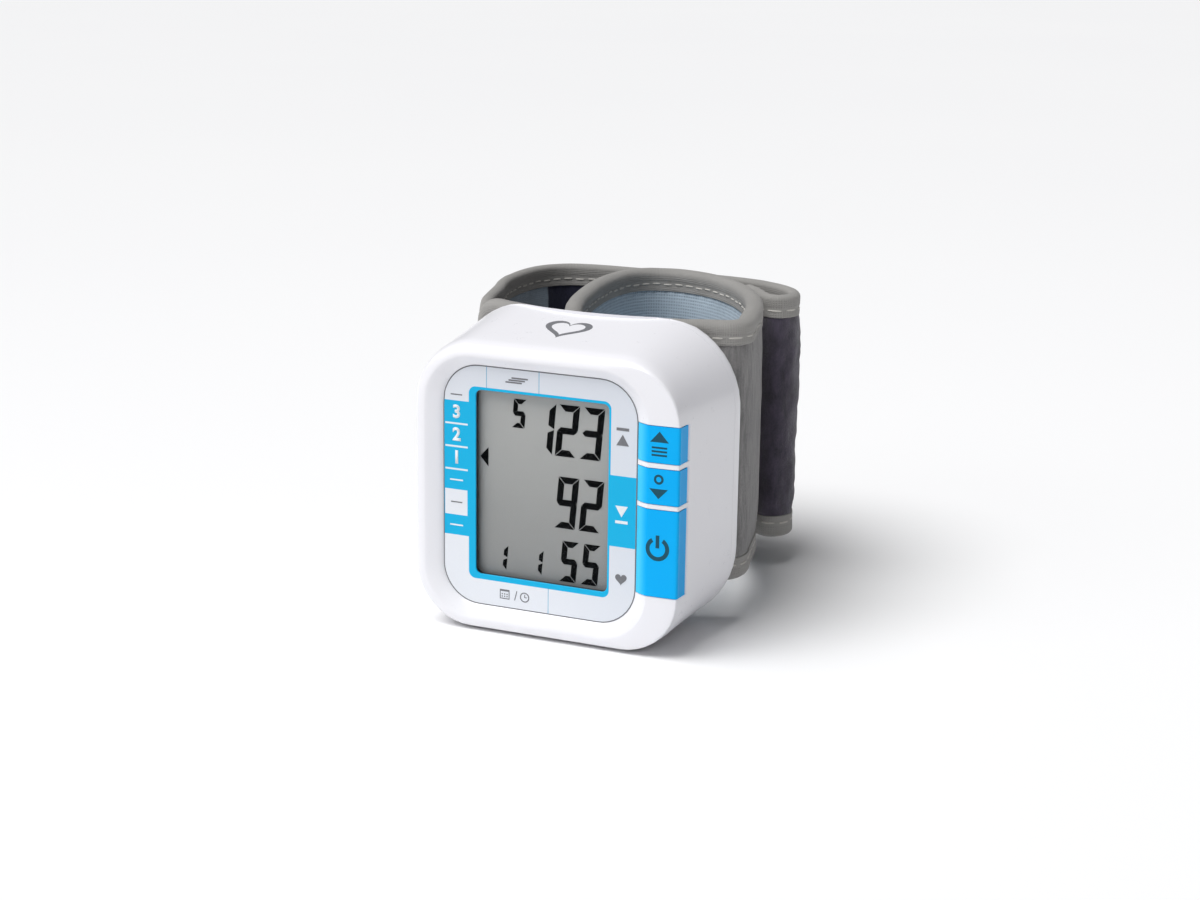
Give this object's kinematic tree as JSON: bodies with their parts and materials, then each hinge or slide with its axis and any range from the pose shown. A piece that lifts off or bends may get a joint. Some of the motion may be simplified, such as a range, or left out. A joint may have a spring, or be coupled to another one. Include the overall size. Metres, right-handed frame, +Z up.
{
  "type": "wrist blood pressure monitor",
  "caption": "Wrist blood pressure monitor: white case with grey display and blue keys, battery door, pump and valve inside, and a preformed cloth cuff with a wrap-round strap.",
  "frame": {"origin": "middle of the flat base of the case, on the surface that it stands on", "axes": "+Z up, -Y towards the user (the display side), +X to the user's right; the cuff is on the +Y side"},
  "size_m": [0.0876, 0.1065, 0.0764],
  "materials": {
    "case_plastic": "satin white moulded plastic",
    "panel_print": "printed silver film with blue areas",
    "window_clear": "clear",
    "lcd_glass": "grey liquid crystal display",
    "key_blue": "satin sky blue",
    "white_plastic": "moulded",
    "black_plastic": "moulded",
    "board_green": "solder mask",
    "steel": "plated steel",
    "rubber_grey": "soft rubber",
    "tube_clear": "soft translucent tube",
    "battery_skin": "printed steel can",
    "cuff_grey": "grey ribbed pile",
    "cuff_blue": "light blue-grey woven lining",
    "binding_grey": "grey folded tape with pale stitching",
    "fleece_dark": "dark loop fleece",
    "hook_grey": "hook tape",
    "brass_part": "turned brass"
  },
  "bodies": {
    "case": {"front_case": "case_plastic", "back_case": "case_plastic", "case_screws": "steel", "panel_overlay": "panel_print", "display_window": "window_clear", "lcd_panel": "lcd_glass", "lcd_frame": "white_plastic", "zebra_connector": "rubber_grey", "memory_switch": "black_plastic", "set_switch": "black_plastic", "power_switch": "black_plastic", "main_board": "board_green", "board_screws": "steel", "controller_chip": "black_plastic", "pressure_sensor": "white_plastic", "buzzer": "black_plastic", "capacitors": "black_plastic", "pump_motor": "steel", "pump_housing": "white_plastic", "rocker_plate": "white_plastic", "diaphragm_cups": "rubber_grey", "pump_valve_cap": "white_plastic", "valve_body": "steel", "valve_spring": "steel", "valve_seat": "white_plastic", "air_manifold": "white_plastic", "pump_tube": "tube_clear", "valve_tube": "tube_clear", "sensor_tube": "tube_clear", "cuff_nozzle": "white_plastic", "battery_tray": "white_plastic", "front_cell": "battery_skin", "back_cell": "battery_skin", "contact_springs": "steel", "contact_plates": "steel", "retaining_plate": "white_plastic", "retaining_screws": "steel", "stiffener_shell": "white_plastic", "air_bladder": "rubber_grey", "cuff_outer_cloth": "cuff_grey", "cuff_inner_cloth": "cuff_blue", "cuff_top_binding": "binding_grey", "cuff_bottom_binding": "binding_grey"},
    "memory_key": {"memory_button": "key_blue", "memory_plunger": "brass_part"},
    "set_key": {"set_button": "key_blue", "set_plunger": "brass_part"},
    "power_key": {"power_button": "key_blue", "power_plunger": "brass_part"},
    "door": {"battery_door": "case_plastic"},
    "shaft": {"motor_shaft": "steel"},
    "valve": {"valve_plunger": "steel"},
    "strap": {"strap_cloth": "fleece_dark", "strap_lining": "cuff_blue", "strap_top_binding": "binding_grey", "strap_bottom_binding": "binding_grey", "hook_patch": "hook_grey"}
  },
  "joints": [
    {"name": "memory_key_press", "type": "slide", "parent": "case", "child": "memory_key", "axis": [0, 1, 0], "range_m": [0, 0.0004], "stiffness_N_per_m": 900, "springref_m": -0.0006},
    {"name": "set_key_press", "type": "slide", "parent": "case", "child": "set_key", "axis": [0, 1, 0], "range_m": [0, 0.0004], "stiffness_N_per_m": 900, "springref_m": -0.0006},
    {"name": "power_key_press", "type": "slide", "parent": "case", "child": "power_key", "axis": [0, 1, 0], "range_m": [0, 0.0004], "stiffness_N_per_m": 900, "springref_m": -0.0006},
    {"name": "battery_door_hinge", "type": "hinge", "parent": "case", "child": "door", "pos_m": [-0.0385, 0.001, 0.014], "axis": [0, -1, 0], "range_deg": [0, 75]},
    {"name": "motor_shaft_spin", "type": "hinge", "parent": "case", "child": "shaft", "pos_m": [0.0245, 0.0022, 0.025], "axis": [0, 0, 1], "continuous": true},
    {"name": "valve_plunger_slide", "type": "slide", "parent": "case", "child": "valve", "axis": [0, 0, 1], "range_m": [0, 0.0006], "stiffness_N_per_m": 200, "springref_m": -0.0004, "deforming": ["valve_spring"]},
    {"name": "strap_wrap_hinge", "type": "hinge", "parent": "case", "child": "strap", "pos_m": [-0.0366, 0.0255, 0.041], "axis": [0, 0, 1], "range_deg": [0, 50]}
  ]
}
